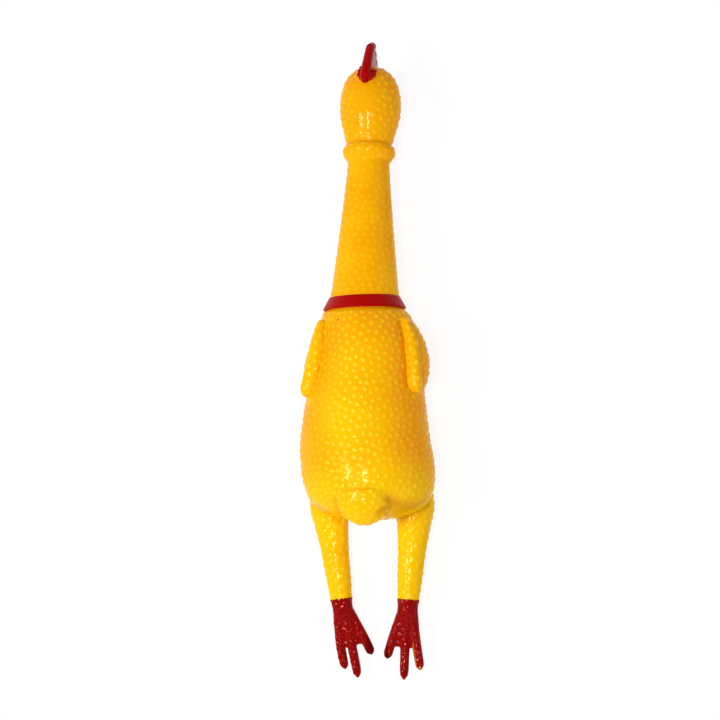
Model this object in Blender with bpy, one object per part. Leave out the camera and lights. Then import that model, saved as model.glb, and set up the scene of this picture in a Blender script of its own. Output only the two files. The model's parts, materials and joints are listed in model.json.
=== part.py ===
"""Rubber chicken: a squeeze-and-scream stage prop in soft vinyl, lying on its belly.

Frame: metres, +Z up. The bird's spine runs along +Y towards the comb, its back faces +Z,
and the flattened middle of its belly rests at Z = 0. The origin is below the middle of its
length, and the lengths given here are measured from MIDDLE_Y behind it. The vinyl skin is
hollow. It is divided where it bends and where its paint changes, and the squeaker sits in the
throat ring. Empties named pivot_* carry the joints.
"""

import math

import bmesh
import bpy
from mathutils import Matrix, Vector

# Driving dimensions, in metres and degrees
SPINE_Z = 0.0405  # height of the spine above the table
MIDDLE_Y = 0.00345  # middle of the length, between the comb and the toes
WALL = 0.0024  # thickness of the vinyl skin
GAP = 0.0003  # clearance between neighbouring pieces
NECK_LEAN = -2.6  # the neck leans a little towards +X
LEG_LEAN = 6.0  # each leg leans towards the middle
LEG_PITCH = 5.0  # and slopes a little towards the table
FOOT_TURN = {"left": 4.0, "right": -1.0}  # how far each foot turns inwards from its leg
OUTER_TOE = {"left": 0.0070, "right": 0.0094}  # how far each outer toe's tip is spread
COMB_LEAN = 0.002  # sideways lean of the comb's tip
SIDES = {"left": -1, "right": 1}

# Lengths along the spine
LEAN_Y = 0.0293  # the neck leans from here
COLLAR_Y = (0.0303, 0.0380)  # red collar, bottom and top
NECK_CUTS = (0.0383, 0.0700, 0.0820, 0.1060, 0.1242)  # ends of the neck's sections
RING_Y = (0.1245, 0.1350)  # throat ring that holds the squeaker
HEAD_Y = (0.1353, 0.1470)  # nape, between the ring and the skull
NECK_SWAY_Y = 0.0540
NECK_NOD_Y = 0.0940
HEAD_NOD_Y = 0.1385
NECK_RADIUS = (0.0213, 0.0129)  # at the neck's foot and at the throat ring
COLLAR_RADIUS = (0.0258, 0.0220)
RING_RADIUS = 0.0164

# Lengths along each leg, measured from its hip
HIP = Vector((0.0258, -0.0940, SPINE_Z - 0.0170))
LEG_CUTS = (0.0070, 0.0170, 0.0270)  # ends of the haunch, of the hip and of the thigh
ANKLE = (0.0515, 0.0615)
SPLAY_BEND = 0.0120
SWING_BEND = 0.0220
ANKLE_BEND = 0.0565

# The torso's sections: y, half width, height of the back, depth of the belly and how far the
# soft body sags to the right
TORSO = (
    (0.0300, 0.0252, 0.0250, 0.0252, 0.0000),
    (0.0260, 0.0276, 0.0276, 0.0284, 0.0006),
    (0.0200, 0.0296, 0.0298, 0.0312, 0.0012),
    (0.0080, 0.0318, 0.0326, 0.0362, 0.0022),
    (-0.0050, 0.0335, 0.0340, 0.0392, 0.0015),
    (-0.0240, 0.0364, 0.0358, 0.0422, -0.0008),
    (-0.0400, 0.0386, 0.0370, 0.0428, -0.0014),
    (-0.0640, 0.0407, 0.0384, 0.0424, -0.0002),
    (-0.0740, 0.0402, 0.0378, 0.0408, 0.0006),
    (-0.0830, 0.0380, 0.0352, 0.0372, 0.0012),
    (-0.0895, 0.0340, 0.0306, 0.0322, 0.0014),
    (-0.0948, 0.0262, 0.0228, 0.0240, 0.0012),
    (-0.0978, 0.0140, 0.0120, 0.0128, 0.0010),
)
TORSO_END = -0.0988
# Each wing's sections: y, distance from the body's middle, height, half height, half thickness
WING = (
    (0.0230, 0.0250, 0.0110, 0.0045, 0.0022),
    (0.0190, 0.0264, 0.0110, 0.0092, 0.0046),
    (0.0090, 0.0292, 0.0108, 0.0124, 0.0058),
    (-0.0020, 0.0314, 0.0106, 0.0134, 0.0062),
    (-0.0120, 0.0322, 0.0108, 0.0132, 0.0060),
    (-0.0185, 0.0322, 0.0110, 0.0112, 0.0052),
    (-0.0225, 0.0322, 0.0114, 0.0072, 0.0038),
)
WING_END = -0.0246
WING_LEAN = math.radians(12)
# The head's sections: y, half width, height of the nape and depth of the face
HEAD = (
    (0.1353, 0.0143, 0.0143, 0.0143),
    (0.1440, 0.0163, 0.0162, 0.0170),
    (0.1520, 0.0182, 0.0184, 0.0198),
    (0.1600, 0.0189, 0.0192, 0.0212),
    (0.1680, 0.0182, 0.0186, 0.0205),
    (0.1750, 0.0163, 0.0162, 0.0176),
    (0.1805, 0.0128, 0.0120, 0.0134),
    (0.1838, 0.0086, 0.0078, 0.0088),
)
HEAD_END = 0.1856
HEAD_ROWS = (0.1470, 0.1540, 0.1610, 0.1680, 0.1740, 0.1785, 0.1820, 0.1842)

# Breast panel: the part of the belly that a thumb presses in
BREAST_CENTRE_Y = -0.0380
BREAST_HALF = (0.0270, 0.0500)
BREAST_LIP_Z = 0.0250  # the cut around it ends at this height

UP = Vector((0, 0, 1))
FORWARD = Vector((0, 1, 0))


# ---------------------------------------------------------------- materials

def vinyl(name, colour, roughness):
    """Principled material of a painted or self-coloured plastic."""
    material = bpy.data.materials.new(name)
    material.use_nodes = True
    shader = material.node_tree.nodes["Principled BSDF"]
    shader.inputs["Base Color"].default_value = (*colour, 1.0)
    shader.inputs["Roughness"].default_value = roughness
    shader.inputs["Metallic"].default_value = 0.0
    return material


# ---------------------------------------------------------------- mesh helpers

def ring(centre, along, half_width, half_height, sides, up=UP):
    """Points of an elliptical section that faces along."""
    across = along.cross(up).normalized()
    top = across.cross(along).normalized()
    turns = (2 * math.pi * i / sides for i in range(sides))
    return [
        centre + across * (half_width * math.cos(a)) + top * (half_height * math.sin(a))
        for a in turns
    ]


def lofted(name, rings, material, start=None, end=None, open_start=False, open_end=False):
    """Surface over rings of equal length; start and end are pole points that close it."""
    mesh = bmesh.new()
    rows = [[mesh.verts.new(p) for p in points] for points in rings]
    count = len(rows[0])
    for low, high in zip(rows, rows[1:]):
        for i in range(count):
            k = (i + 1) % count
            mesh.faces.new((low[i], high[i], high[k], low[k]))
    if start is not None:
        pole = mesh.verts.new(start)
        for i in range(count):
            mesh.faces.new((pole, rows[0][i], rows[0][(i + 1) % count]))
    elif not open_start:
        mesh.faces.new(rows[0])
    if end is not None:
        pole = mesh.verts.new(end)
        for i in range(count):
            mesh.faces.new((pole, rows[-1][(i + 1) % count], rows[-1][i]))
    elif not open_end:
        mesh.faces.new(rows[-1][::-1])
    return made(name, mesh, material)


def made(name, mesh, material):
    """The bmesh as a smooth shaded object of the scene."""
    data = bpy.data.meshes.new(name)
    mesh.to_mesh(data)
    mesh.free()
    data.shade_smooth()
    data.set_sharp_from_angle(angle=math.radians(50))
    data.materials.append(material)
    obj = bpy.data.objects.new(name, data)
    bpy.context.scene.collection.objects.link(obj)
    return obj


def hollow(obj):
    """Gives an open surface its wall, inwards."""
    skin = obj.modifiers.new("wall", "SOLIDIFY")
    skin.thickness = WALL
    skin.offset = -1.0
    skin.use_even_offset = True
    return obj


def combine(obj, other, operation):
    """Boolean of obj with a helper object, which then stays out of the render."""
    boolean = obj.modifiers.new(operation.lower(), "BOOLEAN")
    boolean.operation = operation
    boolean.object = other
    boolean.solver = "EXACT"
    other.hide_render = True
    other.display_type = "WIRE"
    return obj


def between(low, high, share):
    return low + (high - low) * share


def smooth_stations(stations, y):
    """Sizes at y, on a cubic through the stations whose slopes don't overshoot."""
    ordered = sorted(stations)
    last = len(ordered) - 1
    i = next((k for k in range(last) if y <= ordered[k + 1][0]), last - 1)
    (y0, *a), (y1, *b) = ordered[i], ordered[i + 1]
    span = y1 - y0
    t = min(1.0, max(0.0, (y - y0) / span))
    found = []
    for column, (p, q) in enumerate(zip(a, b), start=1):
        m = (slope(ordered, i, column) * span, slope(ordered, i + 1, column) * span)
        found.append(
            (2 * t**3 - 3 * t**2 + 1) * p + (t**3 - 2 * t**2 + t) * m[0]
            + (3 * t**2 - 2 * t**3) * q + (t**3 - t**2) * m[1]
        )
    return found


def slope(ordered, i, column):
    """Harmonic mean of the slopes on both sides, or 0 at a peak."""
    def step(k):
        (y0, *a), (y1, *b) = ordered[k], ordered[k + 1]
        return (b[column - 1] - a[column - 1]) / (y1 - y0)

    if i == 0:
        return step(0)
    if i == len(ordered) - 1:
        return step(i - 1)
    before, after = step(i - 1), step(i)
    return 0.0 if before * after <= 0 else 2 * before * after / (before + after)


# ---------------------------------------------------------------- frames and pivots

def pivot(name, location, parent=None, rotation=None):
    """An empty on a joint: its world matrix gives the joint's place and axes."""
    empty = bpy.data.objects.new("pivot_" + name, None)
    empty.empty_display_size = 0.01
    bpy.context.scene.collection.objects.link(empty)
    world = Matrix.Translation(location) @ (rotation or Matrix.Identity(4))
    if parent:
        empty.parent = parent
        empty.matrix_parent_inverse = world_of[parent.name].inverted()
    empty.matrix_basis = world
    world_of[empty.name] = world
    return empty


def attach(obj, parent, frame=None):
    """Hangs obj on a pivot, with the obj's mesh given in the frame matrix."""
    obj.parent = parent
    obj.matrix_parent_inverse = world_of[parent.name].inverted()
    obj.matrix_basis = frame or Matrix.Identity(4)
    return obj


# ---------------------------------------------------------------- torso

def torso_ring(y, extra=0.0, sides=28):
    """Section of the torso at y, flat where the belly lies on the table."""
    width, back, belly, sag = smooth_stations(TORSO, y)
    centre = Vector((sag, y, SPINE_Z + (back - belly) / 2))
    points = ring(centre, -FORWARD, width + extra, (back + belly) / 2 + extra, sides)
    for p in points:
        p.z = max(p.z, -extra)
    return points


def torso_surface(name, material, extra=0.0, top=TORSO[0][0], open_top=True):
    rows = (0.0285, 0.0250, 0.0200, 0.0100, -0.0050, -0.0220, -0.0400, -0.0570, -0.0700,
            -0.0790, -0.0860, -0.0915, -0.0955, -0.0978)
    rings = [torso_ring(y, extra) for y in (top, *rows)]
    pole = Vector((0, TORSO_END - extra, SPINE_Z))
    return lofted(name, rings, material, end=pole, open_start=open_top)


def breast_prism(name, grow, sides=32):
    """Upright oval prism around the breast panel."""
    centre = Vector((0, BREAST_CENTRE_Y, 0))
    half = [h + grow for h in BREAST_HALF]
    rings = [
        ring(centre + UP * z, UP, half[0], half[1], sides, up=FORWARD)
        for z in (-0.005, BREAST_LIP_Z)
    ]
    return lofted(name, rings, YELLOW)


def hip_port(side):
    """Cylinder that opens the torso into the hollow thigh."""
    frame = leg_frame(side)
    port = lofted(
        "hip_port_" + side,
        [ring(Vector((0, y, 0)), FORWARD, 0.0062, 0.0062, 12) for y in (-0.0120, 0.0200)],
        YELLOW,
    )
    port.matrix_basis = frame
    return port


def make_torso():
    back = hollow(torso_surface("back_shell", YELLOW))
    combine(back, breast_prism("breast_opening", GAP), "DIFFERENCE")
    for side in SIDES:
        combine(back, hip_port(side), "DIFFERENCE")
    press = pivot("squeeze", Vector((0, BREAST_CENTRE_Y, 0)))
    breast = hollow(torso_surface("breast_panel", YELLOW))
    combine(breast, breast_prism("breast_outline", 0.0), "INTERSECT")
    attach(breast, press)
    make_tail()
    for side in SIDES:
        make_wing(side)


def make_tail():
    """Rounded tail nub on the rump."""
    path = (
        (-0.0760, 0.0215, 0.0120, 0.0100),
        (-0.0850, 0.0250, 0.0152, 0.0128),
        (-0.0920, 0.0252, 0.0154, 0.0118),
        (-0.0980, 0.0238, 0.0128, 0.0096),
        (-0.1016, 0.0220, 0.0086, 0.0064),
        (-0.1034, 0.0216, 0.0046, 0.0034),
    )
    rings = [
        ring(Vector((0, y, SPINE_Z + z)), -FORWARD, w, h, 16) for y, z, w, h in path
    ]
    tail = lofted("tail", rings, YELLOW, end=Vector((0, -0.1042, SPINE_Z + 0.0214)))
    combine(tail, TORSO_CUTTER, "DIFFERENCE")


def make_wing(side):
    """Folded wing lying along the upper flank, thickest in its middle."""
    s = SIDES[side]
    lean = Vector((-s * math.sin(WING_LEAN), 0, math.cos(WING_LEAN)))

    def centre(y, distance, height):
        return Vector((smooth_stations(TORSO, y)[3] + s * distance, y, SPINE_Z + height))

    rings = [
        ring(centre(y, distance, height), -FORWARD, thick, tall, 16, up=lean)
        for y, distance, height, tall, thick in WING
    ]
    end = centre(WING_END, *WING[-1][1:3])
    combine(lofted("wing_" + side, rings, YELLOW, end=end), TORSO_CUTTER, "DIFFERENCE")


# ---------------------------------------------------------------- neck

def neck_radius(y):
    foot, top = NECK_RADIUS
    share = (NECK_CUTS[-1] - y) / (NECK_CUTS[-1] - NECK_CUTS[0])
    flare = 0.0008 * max(0.0, 1 - (y - NECK_CUTS[0]) / 0.006)
    return top + (foot - top) * max(share, 0.0) ** 1.15 + flare


def spine_ring(y, radius, sides):
    return ring(Vector((0, y, SPINE_Z)), FORWARD, radius, radius, sides)


def round_tube(name, radii, material, sides=20):
    """Hollow tube about the spine, through (y, radius) pairs."""
    rings = [spine_ring(y, radius, sides) for y, radius in radii]
    return hollow(lofted(name, rings, material, open_start=True, open_end=True))


def neck_section(name, low, high, steps):
    ys = [between(low, high, i / steps) for i in range(steps + 1)]
    return round_tube(name, [(y, neck_radius(y)) for y in ys], YELLOW)


def neck_root_section(low, high, steps=4):
    """The lowest section, whose foot stays square to the collar while the neck leans."""
    ys = [between(low, high, i / steps) for i in range(steps + 1)]
    rings = [spine_ring(y, neck_radius(y), 20) for y in ys]
    rings[0] = [NECK_FRAME.inverted() @ p for p in rings[0]]
    return hollow(lofted("neck_root", rings, YELLOW, open_start=True, open_end=True))


def make_collar():
    low, high = COLLAR_Y
    wide, narrow = COLLAR_RADIUS
    radii = [
        (low, wide), (between(low, high, 0.15), wide + 0.0004),
        (between(low, high, 0.6), between(wide, narrow, 0.55) + 0.0006), (high, narrow),
    ]
    return round_tube("neck_collar", radii, RED, sides=28)


def make_neck():
    """Sections up the neck, with the two that bend between the stiffer ones."""
    frame = NECK_FRAME
    turn = frame.to_3x3().to_4x4()

    def on_axis(y):
        return frame @ Vector((0, y, SPINE_Z))

    sway = pivot("neck_sway", on_axis(NECK_SWAY_Y), rotation=turn)
    nod = pivot("neck_nod", on_axis(NECK_NOD_Y), sway, turn)
    head = pivot("head_nod", on_axis(HEAD_NOD_Y), nod, turn)
    cuts = NECK_CUTS
    attach(neck_root_section(cuts[0], cuts[1] - GAP), sway, frame)
    attach(neck_section("neck_middle", cuts[1], cuts[2] - GAP, 1), sway, frame)
    attach(neck_section("neck_bend", cuts[2], cuts[3] - GAP, 3), nod, frame)
    attach(neck_section("neck_top", cuts[3], cuts[4], 2), nod, frame)
    attach(make_throat_ring(), nod, frame)
    make_squeaker(nod, frame)
    return head


def make_throat_ring():
    """Bulge under the head, whose inner groove holds the squeaker's flange."""
    low, high = RING_Y
    middle, half = (low + high) / 2, (high - low) / 2
    radii = []
    for turn in (-90, -55, -20, 20, 55, 90):
        a = math.radians(turn)
        base = between(NECK_RADIUS[1], HEAD[0][1], (turn + 90) / 180)
        radii.append((middle + half * math.sin(a), base + (RING_RADIUS - base) * math.cos(a)))
    return round_tube("throat_ring", radii, YELLOW)


# ---------------------------------------------------------------- squeaker

def turned(name, profile, material, sides=16):
    """Solid of revolution about the spine from a closed (y, radius) outline."""
    mesh = bmesh.new()
    points = [mesh.verts.new((r, y, SPINE_Z)) for y, r in profile]
    edges = [mesh.edges.new(pair) for pair in zip(points, points[1:] + points[:1])]
    bmesh.ops.spin(
        mesh, geom=points + edges, cent=(0, 0, SPINE_Z), axis=FORWARD,
        angle=2 * math.pi, steps=sides, use_merge=True,
    )
    bmesh.ops.remove_doubles(mesh, verts=mesh.verts, dist=1e-6)
    bmesh.ops.recalc_face_normals(mesh, faces=mesh.faces)
    return made(name, mesh, material)


def box(name, low, high, material):
    mesh = bmesh.new()
    size = Vector(high) - Vector(low)
    placed = Matrix.Translation((Vector(low) + Vector(high)) / 2) @ Matrix.Diagonal((*size, 1))
    bmesh.ops.create_cube(mesh, size=1.0, matrix=placed)
    return made(name, mesh, material)


def make_squeaker(parent, frame):
    """Plastic reed unit: a flanged barrel, a grille, and a reed wedged on its block."""
    low, high = 0.1085, 0.1310
    outer, inner = 0.0094, 0.0078
    barrel = turned(
        "squeaker_barrel",
        [(low, outer), (high - 0.0022, outer), (high - 0.0022, 0.0128), (high, 0.0128),
         (high, inner), (low + 0.0018, inner), (low + 0.0018, 0.0052), (low, 0.0052)],
        WHITE,
    )
    cap = turned(
        "squeaker_grille",
        [(high + GAP, 0.0122), (high + 0.0016, 0.0118),
         (high + 0.0016, 0.0016), (high + GAP, 0.0016)],
        WHITE,
    )
    about = Matrix.Translation((0, 0, SPINE_Z))
    for i in range(4):
        slot = box(f"grille_slot_{i}", (0.0038, high - 0.001, SPINE_Z - 0.0011),
                   (0.0096, high + 0.003, SPINE_Z + 0.0011), WHITE)
        quarter = Matrix.Rotation(math.pi / 2 * i, 4, "Y")
        slot.matrix_basis = frame @ about @ quarter @ about.inverted()
        combine(cap, slot, "DIFFERENCE")
    base = low + 0.0018 + GAP
    block = box("reed_block", (-0.0036, base, SPINE_Z - 0.0050),
                (0.0036, base + 0.0165, SPINE_Z - 0.0012), WHITE)
    channel = box("reed_channel", (-0.0018, base - 0.001, SPINE_Z - 0.0038),
                  (0.0018, base + 0.0135, SPINE_Z), WHITE)
    channel.matrix_basis = frame
    combine(block, channel, "DIFFERENCE")
    # The reed lies along the block, clamped at its upper end and bowed off the channel.
    reed = box("reed", (-0.0027, base + 0.0012, SPINE_Z - 0.0005),
               (0.0027, base + 0.0160, SPINE_Z), AMBER)
    wedge = box("reed_wedge", (-0.0032, base + 0.0128, SPINE_Z + 0.0004),
                (0.0032, base + 0.0160, SPINE_Z + 0.0030), WHITE)
    root = frame @ Vector((0, base + 0.0150, SPINE_Z - 0.0002))
    beat = pivot("reed_beat", root, parent, frame.to_3x3().to_4x4())
    attach(reed, beat, frame)
    for piece in (barrel, cap, block, wedge):
        attach(piece, parent, frame)


# ---------------------------------------------------------------- head

def head_ring(y, extra=0.0, sides=20):
    width, nape, face = smooth_stations(HEAD, y)
    centre = Vector((0, y, SPINE_Z + (nape - face) / 2))
    return ring(centre, FORWARD, width + extra, (nape + face) / 2 + extra, sides)


def head_surface(name, extra=0.0, closed_below=False):
    rings = [head_ring(y, extra) for y in HEAD_ROWS]
    pole = Vector((0, HEAD_END + extra, SPINE_Z))
    return lofted(name, rings, YELLOW, end=pole, open_start=not closed_below)


def swept(name, path, material, sides=12, start=None, end=None):
    """Closed body through (x, y, depth, half width, half height) sections, facing -Z."""
    points = [Vector((x, y, SPINE_Z - depth)) for x, y, depth, _, _ in path]
    rings = []
    for i, (centre, section) in enumerate(zip(points, path)):
        along = (points[min(i + 1, len(points) - 1)] - points[max(i - 1, 0)]).normalized()
        rings.append(ring(centre, along, section[3], section[4], sides, up=FORWARD))
    return lofted(name, rings, material, start=start, end=end)


def make_comb():
    """Single comb with four rounded points, thick at the skull and thin along its edge."""
    # y and height above the spine of each point and each notch, from the nape forwards
    outline = (
        (0.1730, 0.0190), (0.1765, 0.0202), (0.1830, 0.0182), (0.1900, 0.0150),
        (0.1965, 0.0112), (0.2000, 0.0060), (0.1990, 0.0020), (0.1938, 0.0000),
        (0.1985, -0.0034), (0.1978, -0.0066), (0.1918, -0.0082), (0.1950, -0.0116),
        (0.1934, -0.0150), (0.1870, -0.0158), (0.1880, -0.0200), (0.1760, -0.0212),
        (0.1700, -0.0120), (0.1700, 0.0080),
    )
    skull, edge = 0.0034, 0.0025
    mesh = bmesh.new()
    faces = []
    for s in (-1, 1):
        row = []
        for y, z in outline:
            share = (y - 0.1700) / 0.0300
            x = COMB_LEAN * share**2 + s * between(skull, edge, share)
            row.append(mesh.verts.new((x, y, SPINE_Z + z)))
        faces.append(row)
    left, right = faces
    count = len(outline)
    mesh.faces.new(left)
    mesh.faces.new(right[::-1])
    for i in range(count):
        k = (i + 1) % count
        mesh.faces.new((left[i], right[i], right[k], left[k]))
    bmesh.ops.recalc_face_normals(mesh, faces=mesh.faces)
    comb = made("comb", mesh, RED)
    return combine(comb, HEAD_CUTTER, "DIFFERENCE")


def make_beak():
    upper = swept(
        "upper_beak",
        ((0, 0.1664, 0.0150, 0.0094, 0.0048), (0, 0.1666, 0.0235, 0.0081, 0.0047),
         (0, 0.1660, 0.0310, 0.0054, 0.0037), (0, 0.1642, 0.0360, 0.0032, 0.0025)),
        ORANGE,
        end=Vector((0, 0.1612, SPINE_Z - 0.0398)),
    )
    lower = swept(
        "lower_beak",
        ((0, 0.1508, 0.0130, 0.0078, 0.0026), (0, 0.1496, 0.0215, 0.0070, 0.0028),
         (0, 0.1482, 0.0280, 0.0050, 0.0024), (0, 0.1470, 0.0330, 0.0028, 0.0018)),
        ORANGE,
        end=Vector((0, 0.1464, SPINE_Z - 0.0362)),
    )
    return [combine(part, HEAD_CUTTER, "DIFFERENCE") for part in (upper, lower)]


def make_wattle(side):
    """Soft lobe hanging below the lower beak, in front of the throat."""
    s = SIDES[side]
    sizes = ((0.1462, 0.0022, 0.0020), (0.1410, 0.0036, 0.0028), (0.1350, 0.0044, 0.0031),
             (0.1300, 0.0036, 0.0026), (0.1278, 0.0018, 0.0014))
    rings = [
        ring(Vector((s * 0.0050, y, SPINE_Z - 0.0235)), -FORWARD, width, depth, 10)
        for y, width, depth in sizes
    ]
    end = Vector((s * 0.0050, 0.1270, SPINE_Z - 0.0235))
    return lofted("wattle_" + side, rings, RED, end=end)


def make_eye(side):
    """Raised round eye, towards the front of the cheek."""
    s = SIDES[side]
    out = Vector((s * 0.80, 0.08, -0.60)).normalized()
    centre = Vector((s * 0.0132, 0.1660, SPINE_Z - 0.0128))
    sizes = ((0.0, 0.0042), (0.0022, 0.0040), (0.0036, 0.0026))
    rings = [ring(centre + out * h, out, r, r, 12) for h, r in sizes]
    eye = lofted("eye_" + side, rings, WHITE, end=centre + out * 0.0041)
    return combine(eye, HEAD_CUTTER, "DIFFERENCE")


def make_head(parent):
    nape = hollow(
        lofted(
            "nape", [head_ring(y) for y in (HEAD_Y[0], 0.1410, HEAD_Y[1] - GAP)], YELLOW,
            open_start=True, open_end=True,
        )
    )
    skull = hollow(head_surface("head_shell"))
    mouth = box("mouth_opening", (-0.0070, 0.1535, SPINE_Z - 0.0300),
                (0.0070, 0.1616, SPINE_Z - 0.0100), YELLOW)
    mouth.matrix_basis = NECK_FRAME
    combine(skull, mouth, "DIFFERENCE")
    pieces = [nape, skull, make_comb(), *make_beak()]
    pieces += [make(side) for side in SIDES for make in (make_wattle, make_eye)]
    for piece in pieces:
        attach(piece, parent, NECK_FRAME)


# ---------------------------------------------------------------- legs

def leg_frame(side):
    """From a straight leg along -Y with its hip at the origin to where the leg is."""
    s = SIDES[side]
    hip = Vector((s * HIP.x, HIP.y, HIP.z))
    lean = Matrix.Rotation(math.radians(-s * LEG_LEAN), 4, "Z")
    return Matrix.Translation(hip) @ lean @ Matrix.Rotation(math.radians(LEG_PITCH), 4, "X")


def foot_turn(side):
    """Turns a straight foot inwards about the ankle, in the leg's own frame."""
    at_ankle = Matrix.Translation((0, -ANKLE_BEND, 0))
    angle = math.radians(-SIDES[side] * FOOT_TURN[side])
    return at_ankle @ Matrix.Rotation(angle, 4, "Z") @ at_ankle.inverted()


LEG = (  # distance down the leg and radius
    (-0.0160, 0.0122), (-0.0060, 0.0116), (0.0060, 0.0103), (0.0215, 0.0086),
    (0.0370, 0.0077), (0.0480, 0.0069), (0.0540, 0.0065), (0.0640, 0.0064),
)


def leg_tube(name, distances, material):
    """Hollow stretch of a leg."""
    radii = [smooth_stations(LEG, d)[0] for d in distances]
    rings = [ring(Vector((0, -d, 0)), -FORWARD, r, r, 14) for d, r in zip(distances, radii)]
    return hollow(lofted(name, rings, material, open_start=True, open_end=True))


def toe(name, start, end, radii):
    """Tapered toe with a rounded tip."""
    along = (end - start).normalized()
    length = (end - start).length
    stops = ((0.0, radii[0]), (0.55, radii[1]), (0.88, radii[2]), (0.97, radii[2] * 0.7))
    rings = [ring(start + along * (length * t), along, r, r, 10) for t, r in stops]
    return lofted(name, rings, RED, end=end)


def make_foot(side):
    """Palm and three splayed toes as one body."""
    s = SIDES[side]
    turn = foot_turn(side)
    heel_y = -ANKLE[1]
    heel = ring(Vector((0, heel_y, 0)), -FORWARD, 0.0064, 0.0064, 14)
    widths = ((0.0080, 0.0078, 0.0048), (0.0180, 0.0092, 0.0034), (0.0220, 0.0084, 0.0026))
    sole = [ring(Vector((0, heel_y - d, -0.0010)), -FORWARD, w, h, 14) for d, w, h in widths]
    palm = lofted("foot_" + side, [heel] + [[turn @ p for p in points] for points in sole], RED)
    toes = (
        ("inner", 0.0036, 0.0118, 0.0890, 0.0030),
        ("middle", 0.0005, 0.0003, 0.1010, 0.0031),
        ("outer", -0.0034, -OUTER_TOE[side], 0.0944, 0.0030),
    )
    for name, x0, x1, reach, radius in toes:
        start = Vector((-s * x0, heel_y - 0.0060, -0.0010))
        end = Vector((-s * x1, -reach, -0.0045))
        digit = toe(f"toe_{name}_{side}", start, end, (0.0044, radius, radius * 0.82))
        digit.matrix_basis = leg_frame(side) @ turn
        combine(palm, digit, "UNION")
    return palm


def make_leg(side):
    """Haunch on the torso, then the hip and thigh that bend, the shank, ankle and foot."""
    frame = leg_frame(side)
    turn = frame.to_3x3().to_4x4()
    splay = pivot("hip_splay_" + side, frame @ Vector((0, -SPLAY_BEND, 0)))
    swing = pivot("hip_swing_" + side, frame @ Vector((0, -SWING_BEND, 0)), splay, turn)
    ankle = pivot("ankle_" + side, frame @ Vector((0, -ANKLE_BEND, 0)), swing, turn)
    haunch_end, hip_end, thigh_end = LEG_CUTS
    haunch = leg_tube("haunch_" + side, (-0.0160, -0.0060, haunch_end - GAP), YELLOW)
    combine(haunch, TORSO_CUTTER, "DIFFERENCE").matrix_basis = frame
    stretches = (
        ("hip_", (haunch_end, hip_end - GAP), YELLOW, splay),
        ("thigh_", (hip_end, thigh_end - GAP), YELLOW, swing),
        ("shank_", (thigh_end, 0.0380, ANKLE[0] - GAP), YELLOW, swing),
        ("ankle_", (ANKLE[0], ANKLE[1] - GAP), RED, ankle),
    )
    for name, distances, material, parent in stretches:
        attach(leg_tube(name + side, distances, material), parent, frame)
    attach(make_foot(side), ankle, frame)


# ---------------------------------------------------------------- assembly

for leftover in list(bpy.data.objects):
    bpy.data.objects.remove(leftover)

world_of = {}
YELLOW = vinyl("yellow_vinyl", (0.96, 0.50, 0.004), 0.28)
RED = vinyl("red_paint", (0.36, 0.005, 0.004), 0.25)
ORANGE = vinyl("orange_beak", (0.93, 0.27, 0.01), 0.30)
WHITE = vinyl("white_plastic", (0.85, 0.85, 0.82), 0.35)
AMBER = vinyl("reed_film", (0.75, 0.50, 0.18), 0.30)

collar_centre = Vector((0, LEAN_Y, SPINE_Z))
NECK_FRAME = (
    Matrix.Translation(collar_centre)
    @ Matrix.Rotation(math.radians(NECK_LEAN), 4, "Z")
    @ Matrix.Translation(-collar_centre)
)
TORSO_CUTTER = torso_surface("torso_cutter", YELLOW, extra=GAP, open_top=False)
HEAD_CUTTER = head_surface("head_cutter", GAP, closed_below=True)
HEAD_CUTTER.matrix_basis = NECK_FRAME

make_torso()
make_collar()
make_head(make_neck())
for leg_side in SIDES:
    make_leg(leg_side)

origin = bpy.data.objects.new("origin", None)
bpy.context.scene.collection.objects.link(origin)
for obj in list(bpy.data.objects):
    if obj is not origin and obj.parent is None:
        obj.parent = origin
origin.location.y = -MIDDLE_Y
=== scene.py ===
"""Looks of the rubber chicken: pimpled vinyl skin, painted comb, collar, face and feet.

The skin is shaped as one closed body, remeshed evenly and smoothed. Its pimples are pushed
out along its normals, and it is then divided where the toy's bodies meet. Lengths are in
metres, along the CAD frame's axes, with Y counted from the bird's own middle.
"""

import json
import math

import bmesh
import bpy
import numpy as np
from mathutils import Matrix, Vector
from mathutils.kdtree import KDTree

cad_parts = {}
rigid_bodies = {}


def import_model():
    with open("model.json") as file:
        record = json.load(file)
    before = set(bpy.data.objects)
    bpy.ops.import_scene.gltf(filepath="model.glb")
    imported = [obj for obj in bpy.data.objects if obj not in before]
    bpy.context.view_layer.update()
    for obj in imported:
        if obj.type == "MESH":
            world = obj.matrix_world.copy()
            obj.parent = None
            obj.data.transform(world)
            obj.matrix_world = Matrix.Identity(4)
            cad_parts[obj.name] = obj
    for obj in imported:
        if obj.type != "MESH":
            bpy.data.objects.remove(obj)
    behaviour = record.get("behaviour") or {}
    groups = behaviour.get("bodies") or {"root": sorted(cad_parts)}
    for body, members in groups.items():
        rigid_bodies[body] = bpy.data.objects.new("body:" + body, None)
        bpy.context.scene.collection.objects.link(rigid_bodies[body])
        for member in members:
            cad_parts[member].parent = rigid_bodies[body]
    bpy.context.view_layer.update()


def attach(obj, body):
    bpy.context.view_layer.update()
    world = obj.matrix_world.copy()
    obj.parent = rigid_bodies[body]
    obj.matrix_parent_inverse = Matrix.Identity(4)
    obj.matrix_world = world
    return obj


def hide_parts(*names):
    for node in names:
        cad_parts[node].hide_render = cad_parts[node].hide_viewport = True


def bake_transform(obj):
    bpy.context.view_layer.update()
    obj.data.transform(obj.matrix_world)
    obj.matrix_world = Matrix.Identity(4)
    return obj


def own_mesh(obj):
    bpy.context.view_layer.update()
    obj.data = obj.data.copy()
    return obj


SPINE_Z = 0.0405  # height of the centre line of the body, neck and head
MIDDLE_Y = 0.00345  # the CAD frame's origin, counted from the bird's own middle
VOXEL = 0.00050
SMOOTHING = 9
SEED = 7
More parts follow.
